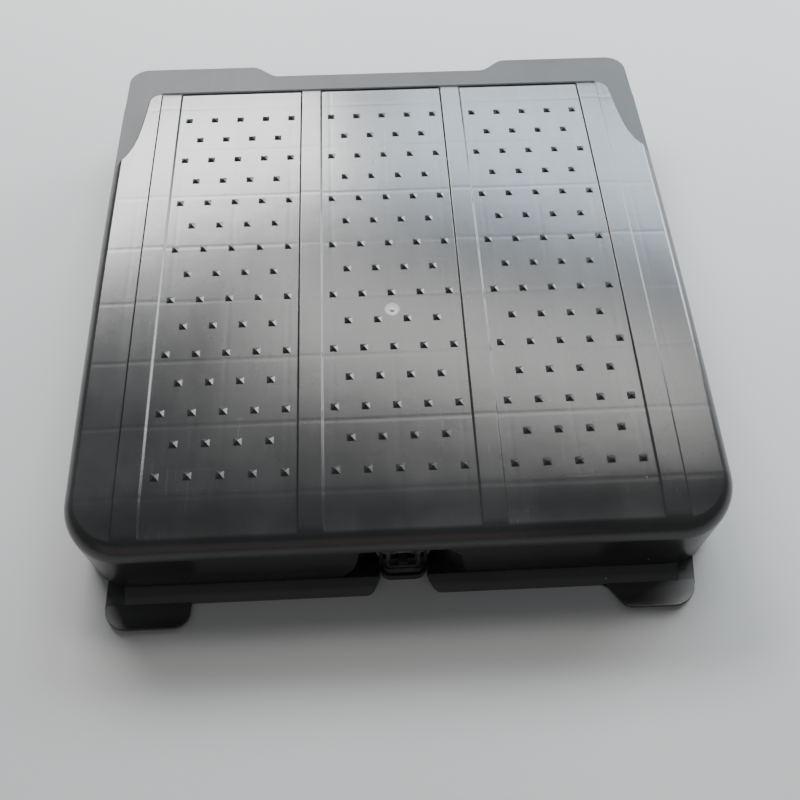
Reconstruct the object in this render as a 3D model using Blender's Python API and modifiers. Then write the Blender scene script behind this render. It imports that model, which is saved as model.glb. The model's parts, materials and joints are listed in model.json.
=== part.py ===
"""Moulded tread cover with a sprung swing latch: a deep inverted tray with an anti-slip top.

Frame: X to the right, Y towards the rear lip, Z up. The origin is on the resting plane, at the
middle of the overall box. Sizes are in metres.
"""

import math

import bmesh
import bpy
from mathutils import Matrix, Vector

MM = 0.001

# Overall moulding
HALF_WIDTH = 333 * MM
FRONT_WALL_Y = -325 * MM
REAR_WALL_Y = 318 * MM
TOP_Z = 113 * MM  # top of the raised strips at mid-length, before the crown
WALL = 3 * MM
FRONT_CORNER_RADIUS = 60 * MM
REAR_CORNER_RADIUS = 32 * MM
ROLL_RADIUS = 24 * MM  # top edge rolling over into the walls
RECESS = 2 * MM  # tread panels below the strips
FLOOR_Z = TOP_Z - RECESS
CEILING_Z = FLOOR_Z - WALL  # underside of the tread
END_Y = 369 * MM  # front tabs and rear lobes
CLEAR = 0.3 * MM  # gap between pieces that touch

# Crown: the top falls away towards the front and the rear
CROWN = 0.0784  # drop in metres for each square metre of Y
CROWN_START_Z = 60 * MM
CROWN_FULL_Z = 92 * MM
CROWN_CUTS = 9
FRONT_FALL = 3 * MM  # extra drop that leads the tread into its front edge
FRONT_FALL_Y = -262 * MM
FRONT_FALL_RUN = 40 * MM

# Tread panels and studs
PANEL_PITCH = 178 * MM
PANEL_HALF_WIDTH = 76.5 * MM
PANEL_BACK_Y = 297 * MM
STRIP_OUTER_X = 280 * MM  # outer edge of the outermost strip
STUD_PITCH_X = 32 * MM
STUD_PITCH_Y = 35.36 * MM
STUD_ROWS = 15
STUD_BASE = 9.4 * MM
STUD_HEIGHT = 3 * MM
GATE_Y = -58 * MM  # moulding gate, a shallow dish between two stud rows

# Rear ledge and lip
LEDGE_Z = 97 * MM
TREAD_BACK_Y = 302 * MM
LEDGE_START_Y = 168 * MM
TREAD_BACK_HALF_WIDTH = 297 * MM
TREAD_BACK_CORNER = 16 * MM
LIP_MIDDLE_Y = 349 * MM
LOBE_INNER_X = 135 * MM
LOBE_RAMP = 34 * MM
LIP_CORNER_RADIUS = 25 * MM
LIP_HALF_WIDTH = 331 * MM

# Front flange, tabs and latch niche
FLANGE = 3 * MM
FLANGE_EDGE_Y = -342 * MM
TAB_BEND_Y = -345 * MM
TAB_KICK = math.radians(10)
FLARE_TOP_Z = 10.5 * MM
FLARE_END = 286 * MM
NOTCH_HALF = 26 * MM
NICHE_FRONT_HALF = 64 * MM
NICHE_BACK_HALF = 31 * MM
NICHE_BACK_Y = -298 * MM
NICHE_FLOOR_Z = 10.8 * MM
NICHE_TOP_Z = 90.5 * MM
NICHE_TAPER = 0.32  # how much narrower the niche is at its top

# Stiffening ribs under the tread
RIB = 2.5 * MM
RIB_LOW_Z = 92 * MM
RIB_PITCH_Y = 77 * MM
RIB_COLUMNS = [0, 65 * MM, 113 * MM, 178 * MM, 243 * MM]

# Rubber buffers and hold-down pads
BUFFER_X = 243 * MM
BUFFER_Y = 192.5 * MM
BOSS_RADIUS = 11 * MM
BOSS_LOW_Z = 78 * MM
BUFFER_RADIUS = 13 * MM
BUFFER_HEIGHT = 14 * MM
STEM_RADIUS = 4.2 * MM
STEM_HEIGHT = 13 * MM
PAD_X = 146 * MM
PAD_SIZE = (150 * MM, 70 * MM, 12 * MM)

# Latch
PIN_Y = -307.5 * MM
PIN_Z = 34 * MM
PIN_RADIUS = 2 * MM
PIN_HALF_LENGTH = 27.5 * MM
BAR_Y = -313.5 * MM
BAR_Z = 7 * MM
BAR_RADIUS = 2.6 * MM
LEVER_HALF_WIDTH = 18 * MM
HOOK_REACH = 8 * MM  # past the outer face of the niche's back wall
EYE_HALF_WIDTH = 24.5 * MM
EYE_WALL = 3.5 * MM
EYE_FRONT_Y = -326 * MM
EYE_HEIGHT = 12 * MM
EYE_CORNER_RADIUS = 12 * MM
CHEEK_TOP_Z = 42 * MM
SLOT_HALF_WIDTH = 8 * MM
SLOT_LOW_Z = 3.5 * MM
SLOT_HIGH_Z = 21 * MM
SCREW_X = 15 * MM
SCREW_Z = 48 * MM
SCREW_RADIUS = 2 * MM


def clear_scene():
    for item in list(bpy.data.objects):
        bpy.data.objects.remove(item)


def material(name, colour, roughness, metallic=0.0):
    made = bpy.data.materials.new(name)
    made.use_nodes = True
    shader = made.node_tree.nodes["Principled BSDF"]
    shader.inputs["Base Color"].default_value = (*colour, 1.0)
    shader.inputs["Roughness"].default_value = roughness
    shader.inputs["Metallic"].default_value = metallic
    return made


def link(name, mesh):
    made = bpy.data.objects.new(name, mesh)
    parts.objects.link(made)
    return made


def from_bmesh(name, shape):
    mesh = bpy.data.meshes.new(name)
    shape.to_mesh(mesh)
    shape.free()
    return link(name, mesh)


def box(name, low, high):
    """A box between two corners."""
    low, high = Vector(low), Vector(high)
    shape = bmesh.new()
    bmesh.ops.create_cube(shape, size=1)
    bmesh.ops.scale(shape, vec=high - low, verts=shape.verts)
    bmesh.ops.translate(shape, vec=(low + high) / 2, verts=shape.verts)
    return from_bmesh(name, shape)


def rod(name, start, end, radius, sides=24, end_radius=None):
    """A cylinder, or a cone where end_radius is given, from one point to another."""
    start, end = Vector(start), Vector(end)
    along = end - start
    shape = bmesh.new()
    bmesh.ops.create_cone(
        shape,
        cap_ends=True,
        segments=sides,
        radius1=radius,
        radius2=radius if end_radius is None else end_radius,
        depth=along.length,
    )
    turn = Vector((0, 0, 1)).rotation_difference(along).to_matrix().to_4x4()
    bmesh.ops.transform(
        shape, matrix=Matrix.Translation((start + end) / 2) @ turn, verts=shape.verts
    )
    return from_bmesh(name, shape)


def as_mesh(item):
    """Replaces an object by its evaluated mesh, with the caps welded, and keeps its name."""
    bpy.context.view_layer.update()
    ready = item.evaluated_get(bpy.context.evaluated_depsgraph_get())
    mesh = bpy.data.meshes.new_from_object(ready)
    mesh.transform(item.matrix_world)
    name = item.name
    bpy.data.objects.remove(item)
    shape = bmesh.new()
    shape.from_mesh(mesh)
    bmesh.ops.remove_doubles(shape, verts=shape.verts, dist=0.000001)
    bmesh.ops.recalc_face_normals(shape, faces=shape.faces)
    shape.to_mesh(mesh)
    shape.free()
    return link(name, mesh)


def prism(name, outline, low, high):
    """A flat XY outline as a filled 2D curve, extruded between two heights."""
    curve = bpy.data.curves.new(name, "CURVE")
    curve.dimensions = "2D"
    curve.fill_mode = "BOTH"
    curve.extrude = (high - low) / 2
    spline = curve.splines.new("POLY")
    spline.points.add(len(outline) - 1)
    for point, (x, y) in zip(spline.points, outline):
        point.co = (x, y, 0, 1)
    spline.use_cyclic_u = True
    item = link(name, curve)
    item.location.z = (low + high) / 2
    return as_mesh(item)


def side_prism(name, outline, left, right):
    """A flat YZ outline, extruded along X between two places."""
    item = prism(name, outline, left, right)
    item.data.transform(Matrix(((0, 0, 1, 0), (1, 0, 0, 0), (0, 1, 0, 0), (0, 0, 0, 1))))
    return item


def combine(item, other, operation):
    """Joins or cuts item with other, and removes other."""
    change = item.modifiers.new("combine", "BOOLEAN")
    change.operation = operation
    change.solver = "EXACT"
    change.object = other
    name = item.name
    item = as_mesh(item)
    item.name = name
    bpy.data.objects.remove(other)
    return item


def arc(centre, radius, start, end, steps):
    """Points round a centre, with the angles in degrees."""
    angles = [math.radians(start + (end - start) * i / steps) for i in range(steps + 1)]
    return [(centre[0] + radius * math.cos(a), centre[1] + radius * math.sin(a)) for a in angles]


def crowned(item, cuts=CROWN_CUTS):
    """Cuts a solid across at even stations and lets its upper part follow the crown."""
    shape = bmesh.new()
    shape.from_mesh(item.data)
    for i in range(cuts):
        station = (i - (cuts - 1) / 2) * RIB_PITCH_Y
        bmesh.ops.bisect_plane(
            shape,
            geom=shape.verts[:] + shape.edges[:] + shape.faces[:],
            plane_co=(0, station, 0),
            plane_no=(0, 1, 0),
            dist=0.000001,
        )
    for vert in shape.verts:
        share = (vert.co.z - CROWN_START_Z) / (CROWN_FULL_Z - CROWN_START_Z)
        beyond = min(max((FRONT_FALL_Y - vert.co.y) / FRONT_FALL_RUN, 0), 1)
        drop = CROWN * vert.co.y**2 + FRONT_FALL * beyond**2
        vert.co.z -= drop * min(max(share, 0), 1)
    bmesh.ops.triangulate(shape, faces=shape.faces)
    shape.to_mesh(item.data)
    shape.free()
    return item


def finish(item, finish_material, origin=(0, 0, 0)):
    """Gives a piece its material, shades its round faces smooth, and sets its origin."""
    item.data.materials.clear()
    item.data.materials.append(finish_material)
    item.data.shade_smooth()
    item.data.set_sharp_from_angle(angle=math.radians(30))
    item.data.transform(Matrix.Translation(-Vector(origin)))
    item.location = origin


# The moulding


def tray(name, inset, low, top):
    """The tray's outer form, or its hollow where inset is the wall: rounded corners, rolled top."""
    half, front, rear = HALF_WIDTH - inset, FRONT_WALL_Y + inset, REAR_WALL_Y - inset
    r_front, r_rear, roll = (
        FRONT_CORNER_RADIUS - inset,
        REAR_CORNER_RADIUS - inset,
        ROLL_RADIUS - inset,
    )
    outline = (
        arc((half - r_front, front + r_front), r_front, -90, 0, 7)
        + arc((half - r_rear, rear - r_rear), r_rear, 0, 90, 5)
        + arc((r_rear - half, rear - r_rear), r_rear, 90, 180, 5)
        + arc((r_front - half, front + r_front), r_front, 180, 270, 7)
    )
    item = prism(name, outline, low, top)
    shape = bmesh.new()
    shape.from_mesh(item.data)
    bmesh.ops.dissolve_limit(shape, angle_limit=0.01, verts=shape.verts, edges=shape.edges)
    rim = [e for e in shape.edges if all(v.co.z > top - 0.00001 for v in e.verts)]
    bmesh.ops.bevel(
        shape, geom=rim, offset=roll, segments=5, profile=0.5, affect="EDGES", material=-1
    )
    shape.to_mesh(item.data)
    shape.free()
    return item


def rear_step(name, inset, low):
    """What is cut away round the rear of the tread, above the ledge."""
    corner = TREAD_BACK_CORNER
    side = []
    steps = 12
    for i in range(steps + 1):
        s = 1 - i / steps
        reach = TREAD_BACK_HALF_WIDTH + (12 * s + 25 * s**5) * MM
        y = TREAD_BACK_Y - corner - s * (TREAD_BACK_Y - corner - LEDGE_START_Y)
        side.append((reach - inset, y - inset * s))
    back = arc(
        (TREAD_BACK_HALF_WIDTH - inset - corner, TREAD_BACK_Y - inset - corner), corner, 0, 90, 4
    )[1:]
    right = side + back
    left = [(-x, y) for x, y in reversed(right)]
    far = 2 * END_Y
    outside = [(-far, right[0][1]), (-far, far), (far, far), (far, right[0][1])]
    return prism(name, right + left + outside, low, TOP_Z + WALL)


def niche(name, inset, low, high):
    """The latch niche, or its form grown by the wall: splayed in plan, narrower at its top."""
    run = (NICHE_FRONT_HALF - NICHE_BACK_HALF) / (NICHE_BACK_Y - FRONT_WALL_Y)
    front = FRONT_WALL_Y - 50 * MM
    back = NICHE_BACK_Y + inset
    back_half = NICHE_BACK_HALF + inset * (math.sqrt(1 + run**2) - run)
    front_half = back_half + run * (back - front)
    outline = [(-front_half, front), (front_half, front), (back_half, back), (-back_half, back)]
    item = prism(name, outline, low, high)
    for vert in item.data.vertices:
        vert.co.x *= 1 - NICHE_TAPER * (vert.co.z - NICHE_FLOOR_Z) / (NICHE_TOP_Z - NICHE_FLOOR_Z)
    return item


def lip_plate():
    """The lip round the rear ledge, with a lobe at each end."""
    inner_y = REAR_WALL_Y - WALL
    r = LIP_CORNER_RADIUS
    half = [
        (LIP_HALF_WIDTH, REAR_WALL_Y - REAR_CORNER_RADIUS - 10 * MM),
        *arc((LIP_HALF_WIDTH - r, END_Y - r), r, 0, 90, 6),
        (LOBE_INNER_X + LOBE_RAMP, END_Y),
        (LOBE_INNER_X + 0.75 * LOBE_RAMP, END_Y - 3 * MM),
        (LOBE_INNER_X + 0.25 * LOBE_RAMP, LIP_MIDDLE_Y + 3 * MM),
        (LOBE_INNER_X, LIP_MIDDLE_Y),
    ]
    inner = [
        (TREAD_BACK_HALF_WIDTH, inner_y),
        (TREAD_BACK_HALF_WIDTH, REAR_WALL_Y - REAR_CORNER_RADIUS - 10 * MM),
    ]
    outline = half + [(-x, y) for x, y in reversed(half)]
    outline += [(-x, y) for x, y in reversed(inner)] + inner
    return prism("lip", outline, LEDGE_Z - WALL, LEDGE_Z)


def flange_plate():
    """The front flange, level with the resting plane."""
    inner_y = FRONT_WALL_Y + WALL / 2
    corner_x = 307 * MM
    outline = [
        (-corner_x, FRONT_WALL_Y + 12 * MM),
        (-corner_x, TAB_BEND_Y),
        (-219 * MM, TAB_BEND_Y),
        (-219 * MM, FLANGE_EDGE_Y),
        (206 * MM, FLANGE_EDGE_Y),
        (211 * MM, TAB_BEND_Y),
        (corner_x - 4 * MM, TAB_BEND_Y),
        (corner_x, FRONT_WALL_Y + 12 * MM),
        (corner_x - 25 * MM, inner_y + 12 * MM),
        (corner_x - 40 * MM, inner_y),
        (-corner_x + 40 * MM, inner_y),
        (-corner_x + 25 * MM, inner_y + 12 * MM),
    ]
    return prism("flange", outline, 0, FLANGE)


def notch(name, grow):
    """The notch in the flange in front of the latch, or its form grown by a web's thickness."""
    half, edge = NOTCH_HALF + grow, FLANGE_EDGE_Y
    right = [
        (half, EYE_FRONT_Y + 2 * MM),
        (half, EYE_FRONT_Y - 1.5 * MM),
        (half + 7 * MM, edge + 3 * MM),
        (half + 13 * MM, edge - 0.5 * MM),
        (half + 13 * MM, edge - 9 * MM),
    ]
    left = [(-x, y) for x, y in reversed(right)]
    return prism(name, right + left, -WALL, NICHE_FLOOR_Z + WALL)


def tab(name, outline):
    """A tab on the flange, bent up a little at its root."""
    item = prism(name, [(x, y - TAB_BEND_Y) for x, y in outline], 0, FLANGE)
    place = Matrix.Translation((0, TAB_BEND_Y, 0.8 * MM))
    item.data.transform(place @ Matrix.Rotation(-TAB_KICK, 4, "X"))
    return item


def flare(name, left, right):
    """The sloping foot of the front wall, which runs down to the flange edge."""
    top, low = FLARE_TOP_Z, FLARE_TOP_Z - 3.5 * MM
    outline = [
        (FRONT_WALL_Y + 6 * MM, top),
        (FRONT_WALL_Y - 0.5 * MM, top),
        (FLANGE_EDGE_Y + 0.2 * MM, FLANGE - 0.2 * MM),
        (FLANGE_EDGE_Y + 0.2 * MM, 0.2 * MM),
        (FLANGE_EDGE_Y + 4 * MM, 0.2 * MM),
        (FRONT_WALL_Y, low),
        (FRONT_WALL_Y + 6 * MM, low),
    ]
    return side_prism(name, outline, left, right)


def gusset(name, left, right):
    """An upright web that closes the end of a flare."""
    outline = [
        (FRONT_WALL_Y + 6 * MM, 1 * MM),
        (FRONT_WALL_Y + 6 * MM, FLARE_TOP_Z - 0.2 * MM),
        (FRONT_WALL_Y - 0.6 * MM, FLARE_TOP_Z - 0.2 * MM),
        (FLANGE_EDGE_Y + 0.5 * MM, FLANGE - 0.4 * MM),
        (FLANGE_EDGE_Y + 0.5 * MM, 1 * MM),
    ]
    return side_prism(name, outline, left, right)


def left_tab():
    root = TAB_BEND_Y + 4 * MM
    outline = [(-219.5 * MM, root), (-306.5 * MM, root)]
    outline += arc((-281 * MM, END_Y * -1 + 25 * MM), 25.5 * MM, 180, 270, 6)
    outline += arc((-236 * MM, END_Y * -1 + 16 * MM), 16.5 * MM, 270, 360, 5)
    return tab("left_tab", outline)


def right_tab():
    root = TAB_BEND_Y + 4 * MM
    outline = [(303 * MM, root), (209 * MM, root), (224 * MM, 4 * MM - END_Y), (231 * MM, -END_Y)]
    outline += arc((275 * MM, END_Y * -1 + 27 * MM), 27.5 * MM, 270, 360, 6)
    return tab("right_tab", outline)


def studs():
    """Three panels of small pyramids, in rows of five and four."""
    shape = bmesh.new()
    for panel in (-1, 0, 1):
        for row in range(STUD_ROWS):
            count = 5 if row % 2 == 0 else 4
            for column in range(count):
                x = panel * PANEL_PITCH + (column - (count - 1) / 2) * STUD_PITCH_X
                y = ((STUD_ROWS - 1) / 2 - row) * STUD_PITCH_Y
                sink = 0.5 * MM
                made = bmesh.ops.create_cone(
                    shape,
                    cap_ends=True,
                    segments=4,
                    radius1=STUD_BASE / math.sqrt(2),
                    radius2=0,
                    depth=STUD_HEIGHT + sink,
                )
                place = Matrix.Translation((x, y, FLOOR_Z + (STUD_HEIGHT - sink) / 2))
                bmesh.ops.transform(
                    shape, matrix=place @ Matrix.Rotation(math.pi / 4, 4, "Z"), verts=made["verts"]
                )
    bmesh.ops.remove_doubles(shape, verts=shape.verts, dist=0.000001)
    return from_bmesh("studs", shape)


def ribs():
    """The grid of ribs under the tread, as one solid that ends inside the walls."""
    high = CEILING_Z + WALL
    columns = sorted({x * side for x in RIB_COLUMNS for side in (-1, 1)})
    grid = None
    for i in range(8):
        y = (i - 3.5) * RIB_PITCH_Y
        bar = box(
            "rib", (-HALF_WIDTH, y - RIB / 2, RIB_LOW_Z), (HALF_WIDTH, y + RIB / 2, high)
        )
        grid = bar if grid is None else combine(grid, bar, "UNION")
    for x in columns:
        bar = box(
            "rib",
            (x - RIB / 2, FRONT_WALL_Y + 32 * MM, RIB_LOW_Z),
            (x + RIB / 2, REAR_WALL_Y, high),
        )
        grid = combine(grid, bar, "UNION")
    inside = tray("inside", WALL / 2, CROWN_START_Z, CEILING_Z + WALL / 2)
    step = rear_step("step", WALL / 2, LEDGE_Z - WALL / 2)
    grid = combine(grid, combine(inside, step, "DIFFERENCE"), "INTERSECT")
    return grid


def tread_cover():
    """The one-piece moulding: shell, ledge, lip, flange, niche, studs, ribs and bosses."""
    body = tray("tread_cover", 0, 0, TOP_Z)
    body = combine(body, rear_step("step", 0, LEDGE_Z), "DIFFERENCE")
    body = combine(body, niche("niche", 0, NICHE_FLOOR_Z, NICHE_TOP_Z), "DIFFERENCE")
    for plate in (lip_plate(), flange_plate(), left_tab(), right_tab()):
        body = combine(body, plate, "UNION")
    body = combine(body, flare("flare", -FLARE_END, FLARE_END), "UNION")
    for x in (-FLARE_END, FLARE_END):
        body = combine(body, gusset("gusset", x - 1.2 * MM, x + 1.2 * MM), "UNION")
    middle = gusset("gusset", -2 * NOTCH_HALF, 2 * NOTCH_HALF)
    body = combine(body, combine(middle, notch("web", 2 * MM), "INTERSECT"), "UNION")
    body = combine(body, notch("notch", 0), "DIFFERENCE")

    hollow = tray("hollow", WALL, -5 * MM, CEILING_Z)
    hollow = combine(hollow, rear_step("step", WALL, LEDGE_Z - WALL), "DIFFERENCE")
    niche_floor = NICHE_FLOOR_Z - WALL
    hollow = combine(hollow, niche("niche", WALL, niche_floor, NICHE_TOP_Z + WALL), "DIFFERENCE")
    body = combine(body, hollow, "DIFFERENCE")

    far = 2 * END_Y
    for centre in (-PANEL_PITCH, 0, PANEL_PITCH):
        cut = box(
            "panel",
            (centre - PANEL_HALF_WIDTH, -far, FLOOR_Z),
            (centre + PANEL_HALF_WIDTH, PANEL_BACK_Y, TOP_Z + WALL),
        )
        body = combine(body, cut, "DIFFERENCE")
    for side in (-1, 1):
        xs = sorted((side * STRIP_OUTER_X, side * far))
        cut = box("border", (xs[0], -far, FLOOR_Z), (xs[1], far, TOP_Z + WALL))
        body = combine(body, cut, "DIFFERENCE")

    body = combine(body, ribs(), "UNION")
    for x in (-BUFFER_X, BUFFER_X):
        for y in (-BUFFER_Y, BUFFER_Y):
            boss = rod("boss", (x, y, BOSS_LOW_Z), (x, y, CEILING_Z + WALL / 2), BOSS_RADIUS, 18)
            body = combine(body, boss, "UNION")
            hole = rod(
                "hole",
                (x, y, BOSS_LOW_Z - WALL),
                (x, y, BOSS_LOW_Z + STEM_HEIGHT + 1 * MM),
                STEM_RADIUS + CLEAR,
                16,
            )
            body = combine(body, hole, "DIFFERENCE")
    body = combine(body, studs(), "UNION")

    dish = rod("dish", (0, GATE_Y, FLOOR_Z - 0.8 * MM), (0, GATE_Y, TOP_Z), 6 * MM, 18)
    body = combine(body, dish, "DIFFERENCE")
    gate = rod(
        "gate", (0, GATE_Y, FLOOR_Z - 1.5 * MM), (0, GATE_Y, FLOOR_Z + 0.4 * MM), 2.5 * MM, 10
    )
    body = combine(body, gate, "UNION")

    for cut in latch_cuts():
        body = combine(body, cut, "DIFFERENCE")
    return crowned(body)


def latch_cuts():
    """What the moulding gives up for the latch: eye opening, hook slot and screw holes."""
    inner = NICHE_BACK_Y + 2 * WALL
    half = EYE_HALF_WIDTH + CLEAR
    outer = NICHE_BACK_Y - 0.05 * MM
    yield box("eye_seat", (-half, EYE_FRONT_Y - WALL, -WALL), (half, outer, NICHE_FLOOR_Z + WALL))
    yield box(
        "slot", (-SLOT_HALF_WIDTH, NICHE_BACK_Y - WALL, SLOT_LOW_Z), (SLOT_HALF_WIDTH, inner, SLOT_HIGH_Z)
    )
    for x in (-SCREW_X, SCREW_X):
        yield rod(
            "screw_hole", (x, NICHE_BACK_Y - WALL, SCREW_Z), (x, inner, SCREW_Z), SCREW_RADIUS + CLEAR
        )


# The latch


def latch_housing():
    """The D-shaped eye, with a back plate and two cheeks that hold the pin."""
    back = NICHE_BACK_Y - CLEAR
    plate_front = back - 4 * MM
    half, r, wall = EYE_HALF_WIDTH, EYE_CORNER_RADIUS, EYE_WALL
    outline = [(half, back)]
    outline += arc((half - r, EYE_FRONT_Y + r), r, 0, -90, 5)
    outline += arc((r - half, EYE_FRONT_Y + r), r, -90, -180, 5)
    outline += [(-half, back)]
    housing = prism("latch_housing", outline, 0, EYE_HEIGHT)
    for side in (-1, 1):
        cheek = [
            (back, EYE_HEIGHT - 2 * MM),
            (back, CHEEK_TOP_Z),
            (back - 10 * MM, CHEEK_TOP_Z),
            (EYE_FRONT_Y + r, EYE_HEIGHT - 2 * MM),
        ]
        xs = sorted((side * half, side * (half - wall)))
        housing = combine(housing, side_prism("cheek", cheek, *xs), "UNION")
    plate = box(
        "plate",
        (-half, plate_front, EYE_HEIGHT - 2 * MM),
        (half, back, SCREW_Z + 7 * MM),
    )
    housing = combine(housing, plate, "UNION")

    ri = r - wall
    opening = [(half - wall, plate_front)]
    opening += arc((half - wall - ri, EYE_FRONT_Y + wall + ri), ri, 0, -90, 5)
    opening += arc((wall + ri - half, EYE_FRONT_Y + wall + ri), ri, -90, -180, 5)
    opening += [(wall - half, plate_front)]
    housing = combine(housing, prism("opening", opening, -WALL, EYE_HEIGHT + WALL), "DIFFERENCE")
    slot = box(
        "slot",
        (-SLOT_HALF_WIDTH, plate_front - WALL, SLOT_LOW_Z),
        (SLOT_HALF_WIDTH, back + WALL, SLOT_HIGH_Z),
    )
    housing = combine(housing, slot, "DIFFERENCE")
    bore = rod(
        "bore", (-2 * half, PIN_Y, PIN_Z), (2 * half, PIN_Y, PIN_Z), PIN_RADIUS + 0.05 * MM, 24
    )
    housing = combine(housing, bore, "DIFFERENCE")
    for x in (-SCREW_X, SCREW_X):
        start, end = (x, back + WALL, SCREW_Z), (x, plate_front + 0.8 * MM, SCREW_Z)
        pilot = rod("pilot", start, end, SCREW_RADIUS + 0.05 * MM)
        housing = combine(housing, pilot, "DIFFERENCE")
    return housing


def latch_lever():
    """The swinging lever: hub on the pin, arms down to the pull bar, and the hook."""
    hub = 4.4 * MM
    lever = rod(
        "latch_lever", (-LEVER_HALF_WIDTH, BAR_Y, BAR_Z), (LEVER_HALF_WIDTH, BAR_Y, BAR_Z), BAR_RADIUS
    )
    for left, right in ((-17.6, -13.6), (13.6, 17.6)):
        ring = rod("hub", (left * MM, PIN_Y, PIN_Z), (right * MM, PIN_Y, PIN_Z), hub)
        lever = combine(lever, ring, "UNION")
        arm = [
            (PIN_Y - 3.6 * MM, PIN_Z + 1 * MM),
            (BAR_Y - 2.2 * MM, BAR_Z + 1 * MM),
            (BAR_Y + 2.4 * MM, BAR_Z - 0.5 * MM),
            (PIN_Y + 0.5 * MM, PIN_Z - 3 * MM),
        ]
        arm = side_prism("arm", arm, (left + 0.2) * MM, (right - 0.2) * MM)
        lever = combine(lever, arm, "UNION")
    hook = [
        (BAR_Y + 0.5 * MM, BAR_Z + 1 * MM),
        (BAR_Y + 1 * MM, BAR_Z + 7 * MM),
        (NICHE_BACK_Y - 3 * MM, BAR_Z + 7 * MM),
        (NICHE_BACK_Y + 4 * MM, BAR_Z + 6 * MM),
        (NICHE_BACK_Y + HOOK_REACH, BAR_Z + 3 * MM),
        (NICHE_BACK_Y + HOOK_REACH, BAR_Z + 1 * MM),
    ]
    lever = combine(lever, side_prism("hook", hook, -5 * MM, 5 * MM), "UNION")
    bore = rod(
        "bore", (-0.1, PIN_Y, PIN_Z), (0.1, PIN_Y, PIN_Z), PIN_RADIUS + 0.1 * MM, 24
    )
    return combine(lever, bore, "DIFFERENCE")


def latch_pin():
    """The steel pivot pin, with a short chamfer at each end."""
    pin = rod(
        "latch_pin", (-PIN_HALF_LENGTH, PIN_Y, PIN_Z), (PIN_HALF_LENGTH, PIN_Y, PIN_Z), PIN_RADIUS
    )
    edge = pin.modifiers.new("edge", "BEVEL")
    edge.width = 0.4 * MM
    edge.limit_method = "ANGLE"
    return as_mesh(pin)


def push_nut(name, side):
    """A spring-steel push-on cap that keeps the pin in."""
    start = side * (EYE_HALF_WIDTH + CLEAR)
    end = start + side * 1.2 * MM
    ring = rod(name, (start, PIN_Y, PIN_Z), (end, PIN_Y, PIN_Z), 4.4 * MM)
    bore = rod("bore", (-0.1, PIN_Y, PIN_Z), (0.1, PIN_Y, PIN_Z), PIN_RADIUS + 0.05 * MM)
    return combine(ring, bore, "DIFFERENCE")


def torsion_spring(name, side):
    """A coil round the pin, with one leg on the back plate and the other before the side arm."""
    wire = 0.5 * MM
    coil_radius = 3.1 * MM
    turns = 3.5
    steps = int(12 * turns)
    width = 5.2 * MM
    points = []
    for i in range(steps + 1):
        angle = 2 * math.pi * turns * i / steps
        x = side * (10 * MM + width * (i / steps - 0.5))
        y = PIN_Y + coil_radius * math.cos(angle)
        points.append((x, y, PIN_Z + coil_radius * math.sin(angle)))
    plate_leg = (points[0][0], NICHE_BACK_Y - 4.5 * MM - 1.2 * wire, PIN_Z - 11 * MM)
    beside_arm = (side * 12.8 * MM, BAR_Y - 1.1 * MM, PIN_Z - 12.5 * MM)
    before_arm = (side * 16.5 * MM, BAR_Y - 1.5 * MM, PIN_Z - 14.5 * MM)
    curve = bpy.data.curves.new(name, "CURVE")
    curve.dimensions = "3D"
    curve.bevel_depth = wire
    curve.bevel_resolution = 2
    curve.use_fill_caps = True
    spline = curve.splines.new("POLY")
    places = [plate_leg, *points, beside_arm, before_arm]
    spline.points.add(len(places) - 1)
    for point, place in zip(spline.points, places):
        point.co = (*place, 1)
    return as_mesh(link(name, curve))


def housing_screw(name, x):
    """A pan-head screw, put in from inside the cover."""
    inner_face = NICHE_BACK_Y + WALL + CLEAR
    head_end = inner_face + 2.4 * MM
    tip = NICHE_BACK_Y - CLEAR - 2.9 * MM
    head = rod(name, (x, inner_face, SCREW_Z), (x, head_end, SCREW_Z), 3.9 * MM, 20, 2.8 * MM)
    shank = rod("shank", (x, inner_face + 1 * MM, SCREW_Z), (x, tip, SCREW_Z), SCREW_RADIUS, 20)
    return combine(head, shank, "UNION")


# Buffers and pads


def buffer(name, x, y):
    """A rubber buffer: a round head below the boss, and a stem pressed into it."""
    top = BOSS_LOW_Z - CLEAR
    head = rod(name, (x, y, top - BUFFER_HEIGHT), (x, y, top), BUFFER_RADIUS - 2 * MM, 24, BUFFER_RADIUS)
    stem = rod("stem", (x, y, top - 1 * MM), (x, y, top + STEM_HEIGHT), STEM_RADIUS, 20)
    return crowned(combine(head, stem, "UNION"), 0)


def hold_down_pad(name, x):
    """A foam pad bonded across the ribs."""
    length, depth, height = PAD_SIZE
    top = RIB_LOW_Z - CLEAR
    pad = box(name, (x - length / 2, -depth / 2, top - height), (x + length / 2, depth / 2, top))
    edge = pad.modifiers.new("edge", "BEVEL")
    edge.width = 3 * MM
    edge.segments = 2
    edge.limit_method = "ANGLE"
    return crowned(as_mesh(pad), CROWN_CUTS)


clear_scene()
parts = bpy.data.collections.new("tread_cover_assembly")
bpy.context.scene.collection.children.link(parts)

moulding = material("moulding", (0.035, 0.035, 0.036), 0.32)
nylon = material("nylon", (0.03, 0.03, 0.031), 0.45)
steel = material("steel", (0.55, 0.56, 0.57), 0.3, 1.0)
rubber = material("rubber", (0.02, 0.02, 0.021), 0.85)
foam = material("foam", (0.05, 0.05, 0.052), 0.95)

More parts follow.
